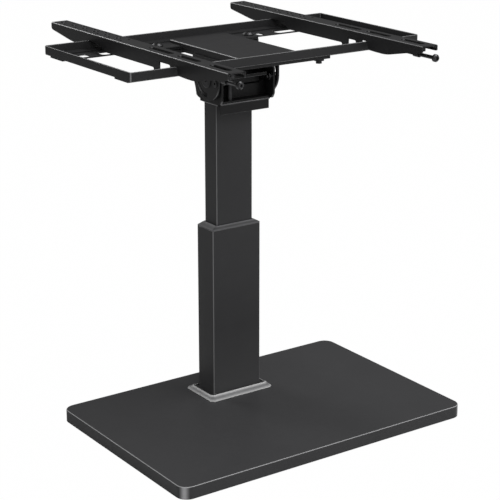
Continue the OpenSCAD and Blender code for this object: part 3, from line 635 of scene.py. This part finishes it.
# %% Bars and packing plates under the bridge
BOLT_X, BOLT_FRONT, BOLT_REAR, BAR_W, BAR_T, BAR_LOW = 75.0, -104.0, 60.0, 168.0, 4.4, 507.4
spacers = bmesh.new()
for low, high in ((PANEL_FRONT, -88.4), (45.1, PANEL_REAR)):
    slab(spacers, (-40.0, low, 513.4), (40.0, high, PANEL_Z), 0.2)
make_piece(spacers, "bridge_packing", "tilt", head_coat, ["bridge_spacers"])
for name, low, high, bolt in (("bar_front", -118.0, -92.0, BOLT_FRONT), ("bar_rear", 47.0, 73.0, BOLT_REAR)):
    bar = bmesh.new()
    if name == "bar_rear":
        slab(bar, (-BAR_W / 2, 47.0, 502.8), (BAR_W / 2, 50.0, 509.0), 0.4)
    outline = rounded_rectangle(bar, BAR_W, high - low, 1.5, 0.0, (0.0, (low + high) / 2), 3)
    holes = [round_hole(bar, x, bolt, BOLT_R) for x in (-BOLT_X, BOLT_X)]
    plate(bar, outline, holes, BAR_T, FLAT, (0.0, 0.0, BAR_LOW), 0.5)
    make_piece(bar, "tray_" + name, "tilt", head_coat, [name])

# %% [markdown]
# ## Tray
# The tray is folded from one sheet: upright flanges all round, a narrow floor inside them, and two strips set
# a little lower, with wide slots in them. The flanges are a ring of outlines with softly rolled upper edges.
# The floor and the strips are plates with their openings left out of the fill.

# %% Tray
TRAY_W, TRAY_FRONT, TRAY_REAR, TRAY_SHEET = 457.0, -126.4, 93.8, 1.6
TRAY_D, TRAY_MID = TRAY_REAR - TRAY_FRONT, (TRAY_FRONT + TRAY_REAR) / 2
LEDGE_LOW, STRIP_LOW = 513.6, 511.8
tray = bmesh.new()
flange_loops = [rounded_rectangle(tray, TRAY_W - 2 * inset, TRAY_D - 2 * inset, 3.5 - inset, z,
                                  (0.0, TRAY_MID))
                for inset, z in [(0.8, LEDGE_LOW), (0.2, 514.1), (0.0, 514.8), (0.0, 524.7), (0.14, 525.16),
                                 (0.47, 525.48), (0.95, 525.6), (1.2, 525.6), (1.6, 525.5), (1.88, 525.2),
                                 (2.0, 524.8), (2.0, 514.0)]]
walls(tray, flange_loops, closed=True)
floor_edge = rounded_rectangle(tray, TRAY_W - 2.0, TRAY_D - 2.0, 2.5, 0.0, (0.0, TRAY_MID))
floor_open = rounded_rectangle(tray, 428.0, 194.8, 2.0, 0.0, (0.0, -21.0))
plate(tray, floor_edge, [floor_open], TRAY_SHEET, FLAT, (0.0, 0.0, LEDGE_LOW), 0.0)
SLOTS = ((-198.5, 31.0), (-142.5, 47.0), (-92.0, 10.0), (92.0, 10.0), (142.5, 47.0), (198.5, 31.0))
for low, high, slot_y, bolt in ((-120.0, -88.0, -105.0, BOLT_FRONT), (44.7, 78.0, 57.0, BOLT_REAR)):
    strip = rounded_rectangle(tray, TRAY_W - 3.0, high - low, 0.8, 0.0, (0.0, (low + high) / 2), 2)
    holes = [rounded_rectangle(tray, length, 18.0, 4.4, 0.0, (x, slot_y), 5) for x, length in SLOTS]
    holes += [round_hole(tray, x, bolt, 4.1) for x in (-BOLT_X, BOLT_X)]
    plate(tray, strip, holes, TRAY_SHEET, FLAT, (0.0, 0.0, STRIP_LOW), 0.3)
for low in (-120.0, 76.4):
    slab(tray, (-227.0, low, 511.9), (227.0, low + TRAY_SHEET, 515.2), 0.5)
for low, high in ((-119.5, -88.0), (44.7, 77.5)):
    slab(tray, (-TRAY_W / 2, low, STRIP_LOW), (-226.5, high, 514.9), 0.4)
    slab(tray, (226.5, low, STRIP_LOW), (TRAY_W / 2, high, 514.9), 0.4)
make_piece(tray, "tray_frame", "tilt", tray_coat, ["tray"])

# %% [markdown]
# ## Arms
# An arm is a channel of 2 mm sheet. The screen is screwed to its flat web, through a row of holes in the rear
# half or long slots in the front half, and its two sides are cut to hook over the rear flange and to sit over
# the front one. Web and sides are plates, and a round bar sunk in each upper corner gives the fold.

# %% The side of an arm
REAR, FRONT, REAR_END, FRONT_END = 95.8, -129.0, 195.3, -239.5
SIDE = [(REAR_END, 534.4), (REAR_END, 527.0), (191.3, 525.8), (140.0, 518.0), (REAR + 2.0, 515.0),
        (REAR, 517.0), (REAR, 525.9), (60.0, 525.9), (57.0, 523.3), (50.0, 517.0), (44.0, 516.5),
        (-72.5, 516.5), (-74.0, 515.0), (-74.0, 511.0), (-86.6, 511.0), (-87.0, 525.9), (FRONT, 525.9),
        (FRONT - 2.0, 515.0), (-145.0, 514.3), (-168.0, 514.0), (-213.0, 523.4), (-221.0, 522.7),
        (FRONT_END, 527.5), (FRONT_END, 534.4)]
SIDE_CUTS = [0.0, 2.5, 1.5, 6.0, 2.0, 1.0, 0.8, 1.2, 1.2, 2.0, 2.0, 0.6, 0.4, 1.4, 2.0, 0.8, 1.2, 2.0, 4.0,
             8.0, 3.0, 3.0, 2.0, 0.0]
CUT_SIDE = SIDE[:-4] + [(-203.0, 521.5), (-203.0, 528.0), (FRONT_END, 528.0), (FRONT_END, 534.4)]
CUT_SIDE_CUTS = SIDE_CUTS[:-4] + [1.0, 1.5, 1.5, 0.0]


# %% Arms
ARM_HALF, ARM_SHEET, WEB_LOW, HOLES = 13.0, 2.0, 534.0, 6
FOLD_AT = ARM_HALF - ARM_SHEET


def arm(name, x, body, node):
    bm = bmesh.new()
    for side_x, points, cuts in ((x - ARM_HALF, SIDE, SIDE_CUTS), (x + FOLD_AT, CUT_SIDE, CUT_SIDE_CUTS)):
        side = rounded_outline(bm, points, cuts, 4)
        plate(bm, side, [], ARM_SHEET, ON_X, (side_x, 0.0, 0.0), 0.35, lambda at: at.y < WEB_LOW)
    middle = (x, (REAR_END + FRONT_END) / 2)
    web = rounded_rectangle(bm, 2 * FOLD_AT, REAR_END - FRONT_END, 0.0, 0.0, middle)
    holes = [long_hole(bm, x, (low + high) / 2, high - low, 8.5)
             for low, high in ((-98.0, -43.0), (-160.0, -111.0), (-227.0, -183.0))]
    holes += [round_hole(bm, x, 35.0 + 30.0 * step, 4.25) for step in range(HOLES)]
    for step in range(HOLES):
        holes += [long_hole(bm, x + side * 6.5, 20.0 + 30.0 * step, 8.0, 3.4, steps=16)
                  for side in (-1.0, 1.0)]
    plate(bm, web, holes, ARM_SHEET, FLAT, (0.0, 0.0, WEB_LOW), 0.35, lambda at: abs(at.x - x) < 10.9)
    for side in (-1.0, 1.0):
        bend(bm, x + side * FOLD_AT, WEB_LOW, ARM_SHEET, FRONT_END, REAR_END, 32)
    return make_piece(bm, name, body, arm_coat, [node])


ARM_AT = 150.0
arm("left_arm_channel", -ARM_AT, "left_arm", "arm_left")
arm("right_arm_channel", ARM_AT, "right_arm", "arm_right")

# %% [markdown]
# ## Clamp knob
# The knob on the back of the column is moulded with six soft lobes for the fingers. A circle is pulled in
# between the lobes, pulled to length, and its rim is rounded.

# %% Clamp knob
KNOB_R, KNOB_H, LOBES, KNOB_Y, KNOB_Z = 13.4, 12.4, 6.0, 29.3, 245.0
knob = bmesh.new()
rim = bmesh.ops.create_circle(knob, cap_ends=True, segments=72, radius=KNOB_R)
for vert in rim["verts"]:
    angle = atan2(vert.co.y, vert.co.x)
    pull = 0.9 + 0.1 * cos(LOBES * angle)
    bmesh.ops.scale(knob, vec=(pull, pull, 1.0), verts=[vert])
grown = bmesh.ops.extrude_face_region(knob, geom=list(knob.faces), use_keep_orig=True)
top = [item for item in grown["geom"] if isinstance(item, bmesh.types.BMVert)]
bmesh.ops.translate(knob, vec=(0.0, 0.0, KNOB_H), verts=top)
bmesh.ops.recalc_face_normals(knob, faces=knob.faces)
rims = [edge for edge in knob.edges if len(edge.link_faces) == 2 and edge.calc_face_angle() > CLEAR_ANGLE]
bmesh.ops.bevel(knob, geom=rims, offset=1.8, offset_type="OFFSET", affect="EDGES", segments=5, profile=0.5,
                material=-1, clamp_overlap=True)
bmesh.ops.translate(knob, vec=(0.0, 0.0, 4.1), verts=knob.verts)
bmesh.ops.create_cone(knob, cap_ends=True, segments=48, radius1=8.0, radius2=9.6, depth=4.6,
                      matrix=Matrix.Translation((0.0, 0.0, 2.3)))
turn = Matrix.Translation((0.0, KNOB_Y, KNOB_Z)) @ Matrix.Rotation(-pi / 2, 4, "X")
bmesh.ops.transform(knob, matrix=turn, verts=knob.verts)
make_piece(knob, "clamp_knob", "height_clamp", knob_plastic, ["height_knob"], 40.0)

# %% [markdown]
# ## The solids that stay
# Screws, nuts, washers, pads and the steel inside the base already have the right shape, so they stay as they
# are and only get their finishes. The table below says which finish goes on which solid.

# %% Finishes on the solids that stay
KEPT = {
    bright_zinc: ["cover_screws", "foot_washers", "foot_bolts", "height_stem", "yoke_bolts"],
    dark_zinc: ["channel_bolt", "pivot_bolts", "pivot_washers", "pivot_nuts", "clamp_bolts", "clamp_washers",
                "clamp_nuts", "tray_bolts", "tray_nuts", "nut_block_left", "nut_block_right"],
    screw_zinc: ["safety_screw_left", "safety_screw_right"],
    primer: ["base_doubler", "base_stiffeners", "cover_bosses", "column_foot", "column_cap"],
    base_coat: ["base_cover"],
    column_coat: ["height_boss"],
    glide_plastic: ["inner_glide"],
    pad_rubber: ["base_pads"],
    friction_fibre: ["friction_washers"],
}
for material, names in KEPT.items():
    for name in names:
        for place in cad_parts[name].material_slots:
            place.material = material
print("solids that stay:", sum(len(names) for names in KEPT.values()))

# %% [markdown]
# ## Floor, light and camera
# The photograph shows the stand on plain white. The floor is a large pale disc. Part of what the camera sees
# of it is its own light, so it comes out white, and the rest is lit by the lamps, so that the stand still
# casts a soft shadow. Four large soft lamps light the black coat: from the front left, from the front right,
# from above, and from behind for the bright lines along the bends.

# %% Floor
ground = bmesh.new()
bmesh.ops.create_circle(ground, cap_ends=True, segments=96, radius=20.0)
ground_mesh = bpy.data.meshes.new("floor")
ground.to_mesh(ground_mesh)
ground.free()
floor = bpy.data.objects.new("floor", ground_mesh)
scene.collection.objects.link(floor)
floor.location.z = -0.0002
pale = Finish("pale_floor", (0.5, 0.5, 0.5), 0.9)
ray = pale.tree.nodes.new("ShaderNodeLightPath")
seen = Signal(pale, ray.outputs["Is Camera Ray"]) + Signal(pale, ray.outputs["Is Glossy Ray"]) * 0.1
seen = seen + Signal(pale, ray.outputs["Is Transmission Ray"])
glow = pale.add("ShaderNodeEmission", None, {"Color": (1.0, 1.0, 1.0), "Strength": 1.0})
body = Signal(pale, pale.shader.outputs[0])
mixed = pale.add("ShaderNodeMixShader", None, {0: seen * 0.995, 1: body, 2: glow})
pale.tree.links.new(mixed.socket, pale.tree.nodes["Material Output"].inputs["Surface"])
floor.data.materials.append(pale.material)

# %% World
world = bpy.data.worlds.new("studio")
world.use_nodes = True
scene.world = world
sky = world.node_tree.nodes["Background"]
sky.inputs["Color"].default_value = (1.0, 1.0, 1.0, 1.0)
sky.inputs["Strength"].default_value = 0.16


# %% Lamps
def soft_lamp(name, place, aim, size, watts):
    data = bpy.data.lights.new(name, "AREA")
    data.shape = "DISK"
    data.size = size
    data.energy = watts
    lamp = bpy.data.objects.new(name, data)
    lamp.location = place
    lamp.rotation_euler = (Vector(aim) - Vector(place)).to_track_quat("-Z", "Y").to_euler()
    scene.collection.objects.link(lamp)


soft_lamp("key_lamp", (-1.0, -2.3, 2.2), (0.0, 0.0, 0.3), 1.6, 40.0)
soft_lamp("front_lamp", (1.3, -2.6, 0.9), (0.0, 0.0, 0.2), 1.2, 12.0)
soft_lamp("top_lamp", (0.9, -0.6, 2.6), (0.0, 0.0, 0.1), 1.6, 42.0)
soft_lamp("back_lamp", (-0.6, 2.4, 1.9), (0.0, 0.0, 0.3), 1.0, 22.0)

# %% Camera
data = bpy.data.cameras.new("camera")
data.sensor_width = 36.0
data.lens = 114.9
camera = bpy.data.objects.new("camera", data)
camera.location = (-1.1978, -1.7664, 0.9120)
camera.rotation_euler = (radians(72.17), 0.0, radians(-34.94))
scene.collection.objects.link(camera)
scene.camera = camera
scene.view_settings.view_transform = "Standard"
